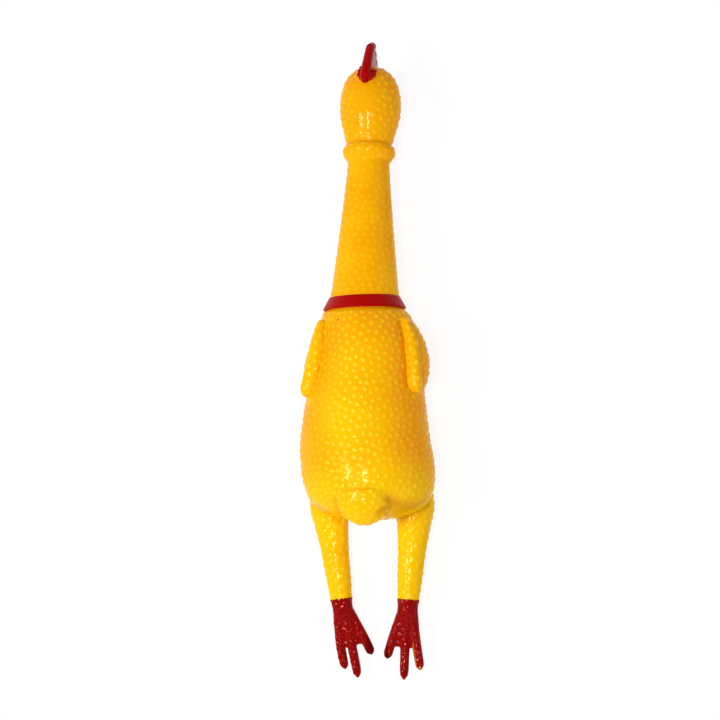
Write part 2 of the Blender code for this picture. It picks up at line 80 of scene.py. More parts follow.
SIDES = {"left": -1, "right": 1}

NECK_LEAN = math.radians(-2.6)
LEG_LEAN = math.radians(6.0)
LEG_PITCH = math.radians(5.0)
FOOT_TURN = {"left": math.radians(4.0), "right": math.radians(-1.0)}
WING_LEAN = math.radians(12.0)
WING_SLIM = {"left": 1.0, "right": 0.80}  # width of the wing's ridge over its height
COLLAR_FOOT = 0.0303
SKIN_CUT = 0.0335  # under the collar, where the torso's skin ends and the neck's starts
NECK_CUTS = (0.0372, 0.0700, 0.0820, 0.1060)  # it bends between the first and the last two
RING_Y = (0.1245, 0.1350)
HEAD_CUT = 0.1360  # the nape bends from here
HIP = Vector((0.0258, -0.0940, SPINE_Z - 0.0170))
HIP_SHIFT = {"left": -0.0003, "right": 0.0008}  # outwards, as the soft body sags
REACH = {"left": -0.0006, "right": 0.0008}  # how much longer the leg is
LEG_CUTS = (0.0070, 0.0170, 0.0270)  # distances down the leg, between which the hip bends
ANKLE = (0.0515, 0.0615)  # and between which the ankle does

COLLAR_TILT = 0.098  # the collar's back stands this much of its height further down the body
SHOULDERS = (0.0080, 0.0300)  # the body's sections lean over to that tilt along here
NECK_FOOT = (0.0380, 0.0560)  # and the neck's sections straighten again along here
PRESSED_Z = 0.0115  # the belly below this height, and so below the hips, flattens when pressed

UP = Vector((0, 0, 1))
FORWARD = Vector((0, 1, 0))

# y, half width, height of the back, depth of the belly and drift to the right
TORSO = (
    (0.0330, 0.0215, 0.0215, 0.0215, 0.0000),
    (0.0300, 0.0252, 0.0250, 0.0252, 0.0002),
    (0.0260, 0.0276, 0.0276, 0.0284, 0.0006),
    (0.0200, 0.0296, 0.0298, 0.0312, 0.0012),
    (0.0080, 0.0318, 0.0326, 0.0362, 0.0022),
    (-0.0050, 0.0335, 0.0340, 0.0392, 0.0015),
    (-0.0150, 0.0349, 0.0350, 0.0414, 0.0003),
    (-0.0240, 0.0364, 0.0358, 0.0422, -0.0008),
    (-0.0400, 0.0386, 0.0370, 0.0428, -0.0014),
    (-0.0520, 0.0399, 0.0380, 0.0428, -0.0013),
    (-0.0640, 0.0407, 0.0384, 0.0424, -0.0002),
    (-0.0740, 0.0402, 0.0381, 0.0408, 0.0006),
    (-0.0830, 0.0380, 0.0362, 0.0372, 0.0012),
    (-0.0895, 0.0340, 0.0314, 0.0322, 0.0014),
    (-0.0948, 0.0262, 0.0228, 0.0240, 0.0012),
    (-0.0978, 0.0140, 0.0120, 0.0128, 0.0010),
)
TORSO_END = -0.0988
# y, half width, height of the nape and depth of the face
HEAD = (
    (0.1353, 0.0143, 0.0143, 0.0143),
    (0.1440, 0.0163, 0.0162, 0.0170),
    (0.1520, 0.0182, 0.0184, 0.0198),
    (0.1600, 0.0189, 0.0192, 0.0212),
    (0.1680, 0.0182, 0.0186, 0.0205),
    (0.1750, 0.0163, 0.0162, 0.0176),
    (0.1805, 0.0128, 0.0120, 0.0134),
    (0.1838, 0.0086, 0.0078, 0.0088),
)
HEAD_END = 0.1856
LEG = (  # distance down the leg and radius
    (-0.0160, 0.0098), (-0.0060, 0.0118), (0.0060, 0.0104), (0.0215, 0.0086),
    (0.0370, 0.0077), (0.0480, 0.0069), (0.0540, 0.0065), (0.0600, 0.0058),
)
# x towards the other foot and distance down the leg, at a toe's root, knuckle and tip
TOES = {
    "inner": ((0.0030, 0.0600), (0.0080, 0.0745), (0.0116, 0.0890)),
    "middle": ((0.0005, 0.0600), (0.0006, 0.0800), (0.0003, 0.1012)),
    "outer": ((-0.0030, 0.0600), (-0.0060, 0.0770), (-0.0079, 0.0946)),
}
TOE_RADIUS = 0.0031
RING_RADIUS = 0.0165
NECK_RADIUS = 0.0129  # at its top
NECK_WIDENING = 0.0084  # how much more it is at its foot
NECK_TAPER = 0.0869  # length along which it changes
OUTER_CURL = {"left": 0.0016, "right": -0.0018}  # how far the outer toe's tip bends inwards


# ---------------------------------------------------------------- shapes

def ring(centre, along, half_width, half_height, sides=64, up=UP):
    """Points of an elliptical section that faces along."""
    across = along.cross(up).normalized()
    top = across.cross(along).normalized()
    turns = (2 * math.pi * i / sides for i in range(sides))
    return [
        centre + across * (half_width * math.cos(a)) + top * (half_height * math.sin(a))
        for a in turns
    ]


def object_from(mesh, name):
    """Object in the scene with this mesh."""
    data = bpy.data.meshes.new(name)
    mesh.to_mesh(data)
    mesh.free()
    obj = bpy.data.objects.new(name, data)
    bpy.context.scene.collection.objects.link(obj)
    return obj


def bridge(mesh, rows):
    """Faces between each closed row of points and the next."""
    count = len(rows[0])
    for low, high in zip(rows, rows[1:]):
        for i in range(count):
            k = (i + 1) % count
            mesh.faces.new((low[i], high[i], high[k], low[k]))


def lofted(name, rings, end=None):
    """Closed surface over rings of equal length, with a pole point at its end where given."""
    mesh = bmesh.new()
    rows = [[mesh.verts.new(p) for p in points] for points in rings]
    bridge(mesh, rows)
    mesh.faces.new(rows[0])
    last = rows[-1][::-1]
    if end is None:
        mesh.faces.new(last)
    else:
        tip = mesh.verts.new(end)
        for a, b in zip(last, last[1:] + last[:1]):
            mesh.faces.new((tip, a, b))
    bmesh.ops.recalc_face_normals(mesh, faces=mesh.faces)
    return object_from(mesh, name)


def stations_at(stations, y):
    """Sizes at y, by Catmull-Rom through the stations."""
    rows = sorted(stations)
    last = len(rows) - 2
    i = next((k for k in range(last) if y <= rows[k + 1][0]), last)
    t = min(1.0, max(0.0, (y - rows[i][0]) / (rows[i + 1][0] - rows[i][0])))
    quad = [rows[min(max(k, 0), len(rows) - 1)] for k in (i - 1, i, i + 1, i + 2)]
    span = quad[2][0] - quad[1][0]
    sizes = []
    for p0, p1, p2, p3 in zip(*(row[1:] for row in quad)):
        m1 = (p2 - p0) / max(quad[2][0] - quad[0][0], span) * span
        m2 = (p3 - p1) / max(quad[3][0] - quad[1][0], span) * span
        sizes.append(
            (2 * t**3 - 3 * t**2 + 1) * p1 + (t**3 - 2 * t**2 + t) * m1
            + (3 * t**2 - 2 * t**3) * p2 + (t**3 - t**2) * m2
        )
    return sizes


def spread(low, high, count):
    """This many evenly spaced values from low to high."""
    return [low + (high - low) * i / (count - 1) for i in range(count)]


def neck_frame():
    """From a straight neck and head along Y to where they are."""
    at = Matrix.Translation((0, COLLAR_FOOT, SPINE_Z))
    return at @ Matrix.Rotation(NECK_LEAN, 4, "Z") @ at.inverted()


def leg_frame(side):
    """From a straight leg along -Y with its hip at the origin to where the leg is."""
    s = SIDES[side]
    hip = Matrix.Translation((s * (HIP.x + HIP_SHIFT[side]), HIP.y, HIP.z))
    lean = Matrix.Rotation(-s * LEG_LEAN, 4, "Z")
    down = Matrix.Translation((0, -REACH[side], 0))
    return hip @ lean @ Matrix.Rotation(LEG_PITCH, 4, "X") @ down


def foot_turn(side):
    """Turn of the foot at its ankle, on a straight leg."""
    at = Matrix.Translation((0, -(ANKLE[0] + ANKLE[1]) / 2, 0))
    return at @ Matrix.Rotation(-SIDES[side] * FOOT_TURN[side], 4, "Z") @ at.inverted()


def bake(obj, matrix):
    obj.data.transform(matrix)
    return obj


def torso_part():
    rings = []
    for y in spread(TORSO[0][0], TORSO[-1][0], 90):
        width, back, belly, drift = stations_at(TORSO, y)
        centre = Vector((drift, y, SPINE_Z + (back - belly) / 2))
        points = ring(centre, -FORWARD, width, (back + belly) / 2, 96)
        fade = float(step(y, *SHOULDERS))
        for p in points:
            p.y -= COLLAR_TILT * (p.z - SPINE_Z) * fade
            p.z = settled(p.z)
        rings.append(points)
    return lofted("torso", rings, end=Vector((0, TORSO_END, SPINE_Z)))


def settled(z, ease=0.0012, sink=0.42):
    """Height above the table, flattened smoothly where the belly rests on it."""
    return 0.5 * (z + math.sqrt(z * z + 4 * ease * ease)) - ease * sink


def drift_at(y):
    """How far the body sits to the right of the spine at y."""
    return stations_at(TORSO, y)[3]


def tail_part():
    path = (  # y, height above the spine, half width and half height
        (-0.0760, 0.0215, 0.0120, 0.0100),
        (-0.0850, 0.0252, 0.0160, 0.0128),
        (-0.0920, 0.0250, 0.0160, 0.0118),
        (-0.0980, 0.0234, 0.0132, 0.0096),
        (-0.1016, 0.0220, 0.0086, 0.0064),
        (-0.1034, 0.0216, 0.0046, 0.0034),
    )
    drift = drift_at(-0.0900) - 0.0010
    rings = [ring(Vector((drift, y, SPINE_Z + z)), -FORWARD, w, h) for y, z, w, h in path]
    return lofted("tail", rings, end=Vector((drift, -0.1042, SPINE_Z + 0.0214)))


# y, distance from the body's middle, height above the spine and radius of a wing's top ridge
WING_RIDGE = (
    (0.0228, 0.0252, 0.0160, 0.0016), (0.0200, 0.0262, 0.0166, 0.0030),
    (0.0080, 0.0287, 0.0178, 0.0047), (-0.0050, 0.0306, 0.0180, 0.0053),
    (-0.0150, 0.0319, 0.0174, 0.0055), (-0.0200, 0.0328, 0.0167, 0.0050),
    (-0.0238, 0.0336, 0.0156, 0.0030),
)
# y, distance, height, half height and half thickness of the wing's outer face
WING_FACE = (
    (0.0230, 0.0250, 0.0100, 0.0040, 0.0020), (0.0190, 0.0266, 0.0098, 0.0086, 0.0044),
    (0.0090, 0.0294, 0.0092, 0.0116, 0.0056), (-0.0020, 0.0318, 0.0090, 0.0128, 0.0060),
    (-0.0120, 0.0324, 0.0092, 0.0126, 0.0058), (-0.0185, 0.0322, 0.0096, 0.0106, 0.0050),
    (-0.0225, 0.0322, 0.0104, 0.0066, 0.0036), (-0.0242, 0.0322, 0.0108, 0.0030, 0.0018),
)
WING_CREASE = (  # y and distance from the body's middle, along the inner edge of the ridge
    (0.0200, 0.0228), (0.0147, 0.0232), (0.0054, 0.0244), (-0.0048, 0.0261),
    (-0.0125, 0.0272), (-0.0186, 0.0281), (-0.0226, 0.0300), (-0.0246, 0.0328),
)


def wing_parts(side):
    """Folded wing: a rounded ridge along its top, and an outer face that hangs from it."""
    s = SIDES[side]
    lean = Vector((-s * math.sin(WING_LEAN), 0, math.cos(WING_LEAN)))
    slim = WING_SLIM[side]
    ridge = [
        ring(Vector((drift_at(y) + s * x, y, SPINE_Z + z)), -FORWARD, r * slim, r, 32)
        for y, x, z, r in WING_RIDGE
    ]
    face = [
        ring(Vector((drift_at(y) + s * x, y, SPINE_Z + z)), -FORWARD, thick, tall, 48, up=lean)
        for y, x, z, tall, thick in WING_FACE
    ]
    return [lofted("ridge_" + side, ridge), lofted("wing_" + side, face)]


def neck_radius(y):
    """Radius of the neck, which widens downwards and flares a little at its foot."""
    share = (NECK_CUTS[0] + NECK_TAPER - y) / NECK_TAPER
    flare = 0.0007 * max(0.0, 1 - (y - NECK_CUTS[0]) / 0.005)
    return NECK_RADIUS + NECK_WIDENING * max(share, 0.0) ** 1.15 + flare


def ring_radius(share):
    """Radius of the throat ring, from its lower edge at 0 to its upper edge at 1."""
    base = 0.0131 + 0.0010 * share
    return base + (RING_RADIUS - base) * math.sin(math.pi * share**1.35) ** 0.75


def neck_part():
    """Neck, throat ring and head as one turned body, wider at the face."""
    rings = []
    for y in spread(0.0200, RING_Y[0], 60):
        r = neck_radius(max(y, NECK_CUTS[0]))
        points = ring(Vector((0, y, SPINE_Z)), FORWARD, r, r)
        for p in points:
            p.y -= COLLAR_TILT * (p.z - SPINE_Z) * (1 - float(step(y, *NECK_FOOT)))
        rings.append(points)
    for i in range(1, 12):
        share = i / 12
        r = ring_radius(share)
        y = RING_Y[0] + (RING_Y[1] - RING_Y[0]) * share
        rings.append(ring(Vector((0, y, SPINE_Z)), FORWARD, r, r))
    for y in spread(HEAD[0][0], HEAD[-1][0], 30):
        width, nape, face = stations_at(HEAD, y)
        centre = Vector((0, y, SPINE_Z + (nape - face) / 2))
        rings.append(ring(centre, FORWARD, width, (nape + face) / 2))
    return bake(lofted("neck", rings, end=Vector((0, HEAD_END, SPINE_Z))), neck_frame())


def leg_part(side):
    rings = []
    for d in spread(LEG[0][0], LEG[-1][0], 40):
        radius = stations_at(LEG, d)[0]
        rings.append(ring(Vector((0, -d, 0)), -FORWARD, radius, radius))
    return bake(lofted("leg_" + side, rings), leg_frame(side))


def toe_line(side, name):
    """Centre of a toe from its root to its tip, as a curve through its three points."""
    (x0, d0), (x1, d1), (x2, d2) = TOES[name]
    if name == "outer":
        x2 += OUTER_CURL[side]
    points = []
    for t in spread(0.0, 1.0, 16):
        root, knuckle, tip = (1 - 2 * t) * (1 - t), 4 * t * (1 - t), t * (2 * t - 1)
        x = root * x0 + knuckle * x1 + tip * x2
        d = root * d0 + knuckle * d1 + tip * d2
        points.append(Vector((-SIDES[side] * x, -d, -0.0010 - 0.0034 * t)))
    return points


def palm_part(side):
    """Flat palm that webs the toes together, down to where they part."""
    outer, inner = toe_line(side, "outer"), toe_line(side, "inner")
    rings = [
        ring(Vector((0, -0.0560, 0)), -FORWARD, 0.0063, 0.0061),
        ring(Vector((0, -0.0610, -0.0002)), -FORWARD, 0.0065, 0.0053),
    ]
    for i, height in ((3, 0.0041), (5, 0.0034), (7, 0.0029), (9, 0.0025), (10, 0.0022)):
        middle = (outer[i] + inner[i]) / 2
        centre = Vector((middle.x, middle.y, middle.z - 0.0004))
        rings.append(ring(centre, -FORWARD, abs(outer[i].x - inner[i].x) / 2, height))
    return lofted("palm_" + side, rings)


def toe_radius(t):
    """Radius of a toe, from its swollen root at 0 to its rounded tip at 1."""
    swell = 1.16 - 0.16 * min(1.0, t / 0.3) - 0.10 * t
    tip = math.sqrt(max(0.03, 1 - max(0.0, (t - 0.86) / 0.14) ** 2.2))
    return TOE_RADIUS * swell * tip


def foot_parts(side):
    """Palm and three long toes that stand a little proud of it."""
    frame = leg_frame(side) @ foot_turn(side)
    parts = [bake(palm_part(side), frame)]
    for name in TOES:
        line = toe_line(side, name)
        rings = []
        for i, centre in enumerate(line):
            along = (line[min(i + 1, len(line) - 1)] - line[max(i - 1, 0)]).normalized()
            radius = toe_radius(i / (len(line) - 1))
            rings.append(ring(centre, along, radius, radius * 0.95, 32))
        parts.append(bake(lofted(f"toe_{name}_{side}", rings), frame))
    return parts


def evened(obj, voxel, rounds):
    """Mesh of a closed shape or of several that overlap, made even and then rounded."""
    remesh = obj.modifiers.new("even", "REMESH")
    remesh.mode = "VOXEL"
    remesh.voxel_size = voxel
    smooth = obj.modifiers.new("soften", "SMOOTH")
    smooth.iterations = rounds
    graph = bpy.context.evaluated_depsgraph_get()
    return bpy.data.meshes.new_from_object(obj.evaluated_get(graph))


def skin_body():
    """The whole skin as one even mesh."""
    parts = [torso_part(), tail_part(), neck_part()]
    for side in SIDES:
        parts += [*wing_parts(side), leg_part(side), *foot_parts(side)]
    joined = bmesh.new()
    for part in parts:
        joined.from_mesh(part.data)
        bpy.data.objects.remove(part)
    body = object_from(joined, "skin")
    mesh = evened(body, VOXEL, SMOOTHING)
    bpy.data.objects.remove(body)
    return mesh


# ---------------------------------------------------------------- pimples and creases

PIMPLE_PITCH = 0.0047
PIMPLE_RADIUS = 0.00170
PIMPLE_RISE = 0.00042
BUMP_PITCH = 0.0035  # of the closer bumps on the feet
BUMP_RADIUS = 0.0015
BUMP_RISE = 0.00050
BUMP_PAINTED_LIGHT = 0.4  # painted light on their tops, next to a pimple's
NECK_STRENGTH = 0.62  # height of the pimples here, next to the torso's
LEG_STRENGTH = 0.72
CROWN_WEAR = 0.76
VENT = (-0.0134, 0.0216)  # a pin hole in the back, which lets the air out of the mould
VENT_EDGE = (0.0004, 0.0010)
VENT_SHARE = 1.8  # more than any crease has, so that the hole gets a darker painted shade
# half width, depth, darkness of the painted shade and x, y points of the creases and folds round
# the tail
TAIL_CREASES = (
    # where each thigh leaves the body
    (0.0018, 0.0003, 0.7,
     ((-0.0374, -0.0850), (-0.0301, -0.0912), (-0.0219, -0.0964), (-0.0161, -0.0990))),
    (0.0022, 0.0003, 1.0,
     ((0.0383, -0.0880), (0.0296, -0.0933), (0.0207, -0.0969), (0.0140, -0.0990))),
    # on both sides of the tail
    (0.0016, 0.0004, 0.6, ((-0.0168, -0.0890), (-0.0158, -0.0935), (-0.0128, -0.0975))),
    (0.0016, 0.0005, 1.0, ((0.0168, -0.0880), (0.0158, -0.0935), (0.0100, -0.0980))),
    # a wide soft fold beside it, mostly painted shade, and a faint one above it
    (0.0034, 0.0003, 0.9, ((0.0170, -0.0900), (0.0230, -0.0935), (0.0300, -0.0925))),
    (0.0014, 0.0003, 0.1, ((-0.0060, -0.0846), (0.0000, -0.0836), (0.0060, -0.0826))),
)


def points_of(mesh):
    points = np.empty(len(mesh.vertices) * 3, np.float32)
    mesh.vertices.foreach_get("co", points)
    return points.reshape(-1, 3).astype(float)


def normals_of(mesh):
    normals = np.empty(len(mesh.vertices) * 3, np.float32)
    mesh.vertex_normals.foreach_get("vector", normals)
    return normals.reshape(-1, 3).astype(float)


def moved(points, matrix):
    """The points after this transform."""
    m = np.array(matrix)
    return points @ m[:3, :3].T + m[:3, 3]


def tree_of(points):
    tree = KDTree(len(points))
    for i, p in enumerate(points):
        tree.insert(p, i)
    tree.balance()
    return tree


def thinned(points, pitch, seed):
    """Indices of points no nearer to each other than pitch, taken in random order."""
    order = np.random.default_rng(seed).permutation(len(points))
    cells, kept = {}, []
    keys = np.floor(points / pitch).astype(int)
    for i in order:
        key = tuple(keys[i])
        near = (
            k
            for dx in (-1, 0, 1) for dy in (-1, 0, 1) for dz in (-1, 0, 1)
            for k in cells.get((key[0] + dx, key[1] + dy, key[2] + dz), ())
        )
        if all(((points[i] - points[k]) ** 2).sum() >= pitch * pitch for k in near):
            cells.setdefault(key, []).append(i)
            kept.append(i)
    return np.array(kept)


def even_centres(points, pitch, seed, rounds=4, samples=60000, closest=0.80):
    """Evenly spaced centres on the surface, in loose staggered rows."""
    sample = points[:: max(1, len(points) // samples)]
    centres = sample[thinned(sample, pitch * closest, seed)]
    for _ in range(rounds):
        tree = tree_of(centres)
        owner = np.array([tree.find(p)[1] for p in sample])
        count = np.maximum(np.bincount(owner, minlength=len(centres)), 1)
        centres = np.stack(
            [np.bincount(owner, sample[:, k], len(centres)) / count for k in range(3)], 1
        )
    tree = tree_of(points)
    return np.array([tree.find(c)[1] for c in centres])


def dome(distance, radius):
    """Profile of a pimple: 1 at its top and 0 at its edge."""
    t = np.clip(distance / radius, 0, 1)
    return (1 - t * t) ** 1.15


def step(x, low, high):
    """Smooth change from 0 at low to 1 at high."""
    t = np.clip((x - low) / (high - low), 0, 1)
    return t * t * (3 - 2 * t)


def hump(x, width):
    """1 where x is 0, and close to 0 from two widths away."""
    return np.exp(-(x / width) ** 2)


def along_collar(neck):
    """How far up the straight neck points are, counted along the collar's tilt."""
    return neck[:, 1] + COLLAR_TILT * (neck[:, 2] - SPINE_Z)


def near_line(points, line):
    """Distance of each point from a line of joined segments, seen from above."""
    flat = points[:, :2]
    best = np.full(len(points), 1.0)
    for a, b in zip(line, line[1:]):
        a, b = np.array(a), np.array(b)
        d = b - a
        t = np.clip((flat - a) @ d / (d @ d), 0, 1)
        best = np.minimum(best, np.linalg.norm(flat - a - t[:, None] * d, axis=1))
    return best


def crease_lines():
    """Creases on the back, as (half width, depth, how dark their painted shade is, line)."""
    lines = list(TAIL_CREASES)
    for s in SIDES.values():
        wing = [(drift_at(y) + s * (x - 0.0005), y) for y, x in WING_CREASE]
        # painted shade along each wing's inner crease, darker on the right
        dark = 0.5 + 0.1 * s
        lines.append((0.0007, 0.0003, dark, wing))
    # painted shade along the lower edge of the right wing's ridge
    under = [(drift_at(y) + x + 0.85 * r, y) for y, x, _, r in WING_RIDGE[1:]]
    lines.append((0.0007, 0.0002, 0.6, under))
    return lines


def creased(points, normals):
    """How much painted shade each point gets in a crease or the vent's hole, and how far it is
    pressed in.
    """
    share = np.zeros(len(points))
    depth = np.zeros(len(points))
    upper = step(normals[:, 2], 0.0, 0.25) * (points[:, 2] > SPINE_Z - 0.010)
    for width, deep, dark, line in crease_lines():
        near = hump(near_line(points, line), width) * upper
        share = np.maximum(share, near * dark)
        depth = np.maximum(depth, near * deep)
    neck = moved(points, neck_frame().inverted())
    above_ring = hump(neck[:, 1] - RING_Y[1] - 0.0006, 0.0011)
    # painted shade in the crease above the throat ring
    share = np.maximum(share, above_ring * 0.3)
    depth = np.maximum(depth, above_ring * 0.0004)
    rim = hump(along_collar(neck) - 0.0302, 0.0008)
    depth -= 0.0011 * rim
    away = np.linalg.norm(points[:, :2] - np.array(VENT), axis=1)
    pit = (1 - step(away, *VENT_EDGE)) * upper
    return np.maximum(share, VENT_SHARE * pit), np.maximum(depth, pit * 0.0012)


def add_pimples(mesh):
    """Pushes the pimples out and the creases in, and stores what the colour depends on."""
    points, normals = points_of(mesh), normals_of(mesh)
    crease, depth = creased(points, normals)
    along = {side: leg_distance(points, side) for side in SIDES}
    neck = moved(points, neck_frame().inverted())
    strength = pimple_strength(points, neck, along) * (1 - 0.5 * np.minimum(crease, 1.0))
    skin = points[strength > 0.05]
    centres = skin[even_centres(skin, PIMPLE_PITCH, SEED)]
    size = np.random.default_rng(SEED).uniform(0.85, 1.15, len(centres))
    tree = tree_of(centres)
    found = [tree.find(p) for p in points]
    owner = np.array([f[1] for f in found])
    away = np.array([f[2] for f in found])
    rise = dome(away, PIMPLE_RADIUS * size[owner]) * strength
    lift = rise * PIMPLE_RISE * size[owner]
    toes, toe_lift = toe_pimples(points, normals, along)
    points += normals * (lift + toe_lift - depth)[:, None]
    mesh.vertices.foreach_set("co", points.astype(np.float32).ravel())
    mesh.update()
    # the painted light on the pimple tops is fainter on the neck, and fainter again on the head
    faint = 0.25 * step(neck[:, 1], 0.0400, 0.0500) + 0.3 * step(neck[:, 1], 0.1350, 0.1450)
    store(mesh, "pimple", np.maximum(rise * (1 - faint), toes))
    store(mesh, "crease", crease)
    store(mesh, "flank_shade", painted_flank_shade(points, normals))
    return points


def painted_flank_shade(points, normals):
    """Painted shade on the torso's flanks, where they turn away from the light: they are painted
    more orange than its back and wings.
    """
    along = step(points[:, 1], -0.0900, -0.0600) * (1 - step(points[:, 1], 0.0180, 0.0290))
    flank_shade = step(np.abs(normals[:, 0]), 0.20, 0.80) * along
    for s in SIDES.values():
        ridge = [(drift_at(y) + s * x, y) for y, x, _, _ in WING_RIDGE]
        high = step(points[:, 2] - SPINE_Z, 0.0080, 0.0130)
        flank_shade *= 1 - 0.9 * high * (1 - step(near_line(points, ridge), 0.0040, 0.0070))
    return flank_shade


def leg_distance(points, side):
    """How far down its leg each point is, or -1 away from that leg."""
    local = moved(points, leg_frame(side).inverted())
    near = (np.abs(local[:, 0]) < 0.024) & (np.abs(local[:, 2]) < 0.022) & (local[:, 1] < 0.004)
    return np.where(near, -local[:, 1], -1.0)


def pimple_strength(points, neck, along):
    """Pimples are bold on the torso and head, and lower on the neck, the ring and the legs.

    They stop at the collar, the beak and the ankles, and are worn low along the head's middle.
    """
    x, y, z = neck[:, 0], neck[:, 1], neck[:, 2] - SPINE_Z
    banded = along_collar(neck)
    above = step(banded, 0.0290, 0.0296)
    necked = step(banded, 0.0405, 0.0415) * (NECK_STRENGTH - 0.06 * step(y, 0.06, 0.12))
    necked += 0.50 * step(y, 0.1380, 0.1480)
    strength = (1 - above) + necked * above
    crown = step(y, 0.1390, 0.1440) * (1 - step(y, 0.1700, 0.1760))
    crown *= 1 - step(np.abs(x + 0.0010), 0.0040, 0.0090)
    crown *= z > 0
    strength *= 1 - CROWN_WEAR * crown
    beak = (z < -0.0150) & (y > 0.1440)
    strength[beak] = 0.0
    for distance in along.values():
        leg = distance > 0.004
        strength[leg] *= LEG_STRENGTH
        strength *= 1 - step(distance, 0.0530, 0.0545)
    return strength * step(points[:, 2], 0.0008, 0.0030)


def toe_pimples(points, normals, along):
    """Close-set bumps on the upper side of the feet: the painted light on their tops, and their
    height.
    """
    rise = np.zeros(len(points))
    upper = step(normals[:, 2], 0.1, 0.6)
    for side in SIDES:
        red = np.flatnonzero(along[side] > ANKLE[0] + 0.0010)
        centres = points[red][even_centres(points[red], BUMP_PITCH, SEED + 1)]
        tree = tree_of(centres)
        away = np.array([tree.find(points[i])[2] for i in red])
        rise[red] = dome(away, BUMP_RADIUS) * upper[red]
    return rise * BUMP_PAINTED_LIGHT, rise * BUMP_RISE


def store(mesh, name, values):
    """Keeps a value for each point, which the skin's material reads."""
    layer = mesh.attributes.new(name, "FLOAT", "POINT")
    layer.data.foreach_set("value", np.asarray(values, np.float32))


# ---------------------------------------------------------------- division

def quads_of(mesh):
    """Vertex indices of each face: the skin's faces all have four corners."""
    corners = np.empty(len(mesh.loops), np.int32)
    mesh.loops.foreach_get("vertex_index", corners)
    return corners.reshape(-1, 4)


def divide(mesh, points):
    """Which faces of the skin go to each piece, as {piece: face mask}."""
    quads = quads_of(mesh)
    centre = (points[quads[:, 0]] + points[quads[:, 2]]) / 2
    neck = moved(centre, neck_frame().inverted())
    y = neck[:, 1]
    necked = along_collar(neck) > SKIN_CUT
    shares = {
        "skin_head": y > HEAD_CUT,
        "skin_upper_neck": (y > NECK_CUTS[2]) & (y <= HEAD_CUT),
        "skin_lower_neck": necked & (y <= NECK_CUTS[2]),
    }
    taken = necked.copy()
    for side in SIDES:
        d = leg_distance(centre, side)
        shares["skin_foot_" + side] = d > ANKLE[0]
        shares["skin_shank_" + side] = (d > LEG_CUTS[1]) & (d <= ANKLE[0])
        shares["skin_hip_" + side] = (d > LEG_CUTS[0]) & (d <= LEG_CUTS[1])
        taken |= d > LEG_CUTS[0]
    shares["skin_belly"] = ~taken & (centre[:, 2] < PRESSED_Z)
    shares["skin_torso"] = ~taken & (centre[:, 2] >= PRESSED_Z)
    return shares


def piece_of(mesh, name, mask, normals, material):
    """A part of the skin as its own object, shaded as the whole skin is."""
    used, index = np.unique(quads_of(mesh)[mask], return_inverse=True)
    faces = index.reshape(-1, 4)
    data = bpy.data.meshes.new(name)
    data.vertices.add(len(used))
    data.vertices.foreach_set("co", points_of(mesh)[used].astype(np.float32).ravel())
    data.loops.add(faces.size)
    data.loops.foreach_set("vertex_index", faces.astype(np.int32).ravel())
    data.polygons.add(len(faces))
    data.polygons.foreach_set("loop_start", np.arange(0, faces.size, 4, dtype=np.int32))
    for key in ("pimple", "crease", "flank_shade", "paint"):
        values = np.empty(len(mesh.vertices), np.float32)
        mesh.attributes[key].data.foreach_get("value", values)
        store(data, key, values[used])
    data.update()
    data.validate()
    data.polygons.foreach_set("use_smooth", np.ones(len(faces), bool))
    data.normals_split_custom_set_from_vertices(normals[used])
    data.materials.append(material)
    obj = bpy.data.objects.new(name, data)
    bpy.context.scene.collection.objects.link(obj)
    return obj


# ---------------------------------------------------------------- comb, face and collar

EYE_RADIUS = 0.0044
EYE_RISE = 0.0034
PUPIL_RADIUS = 0.0022


def on_head(obj, voxel=0.00045, rounds=6):
    """Evens and rounds a closed shape, and moves it to where the neck holds it."""
    obj.data = evened(obj, voxel, rounds)
    obj.modifiers.clear()
    obj.data.shade_smooth()
    return bake(obj, neck_frame())


def add_ball(mesh, place, radius):
    bmesh.ops.create_icosphere(
        mesh, subdivisions=2, radius=radius, matrix=Matrix.Translation(place)
    )


def comb_blade():
    """Flat blade of the comb, with four points along its edge."""
    outline = (  # y, and height above the spine
        (0.1740, 0.0150), (0.1815, 0.0158), (0.1900, 0.0130), (0.1968, 0.0092),
        (0.1998, 0.0052), (0.1990, 0.0020),
        (0.1938, 0.0000), (0.1985, -0.0034), (0.1978, -0.0066), (0.1918, -0.0082),
        (0.1950, -0.0116), (0.1934, -0.0150), (0.1870, -0.0158), (0.1880, -0.0200),
        (0.1760, -0.0212), (0.1700, -0.0120), (0.1700, 0.0080),
    )
    mesh = bmesh.new()
    layers = []
    for layer, shrink in ((-1.0, 0.88), (-0.5, 1.0), (0.5, 1.0), (1.0, 0.88)):
        row = []
        for y, z in outline:
            share = min(1.0, max(0.0, (y - 0.1700) / 0.0300))
            half = 0.0027 - 0.0004 * share
            away = Vector((0, y - 0.1800, z)) * shrink
            x = 0.0010 * share**2 - 0.0006 + layer * half
            row.append(mesh.verts.new((x, 0.1800 + away.y, SPINE_Z + away.z)))
        layers.append(row)
    mesh.faces.new(layers[0])
    mesh.faces.new(layers[-1][::-1])
    bridge(mesh, layers)
    return mesh


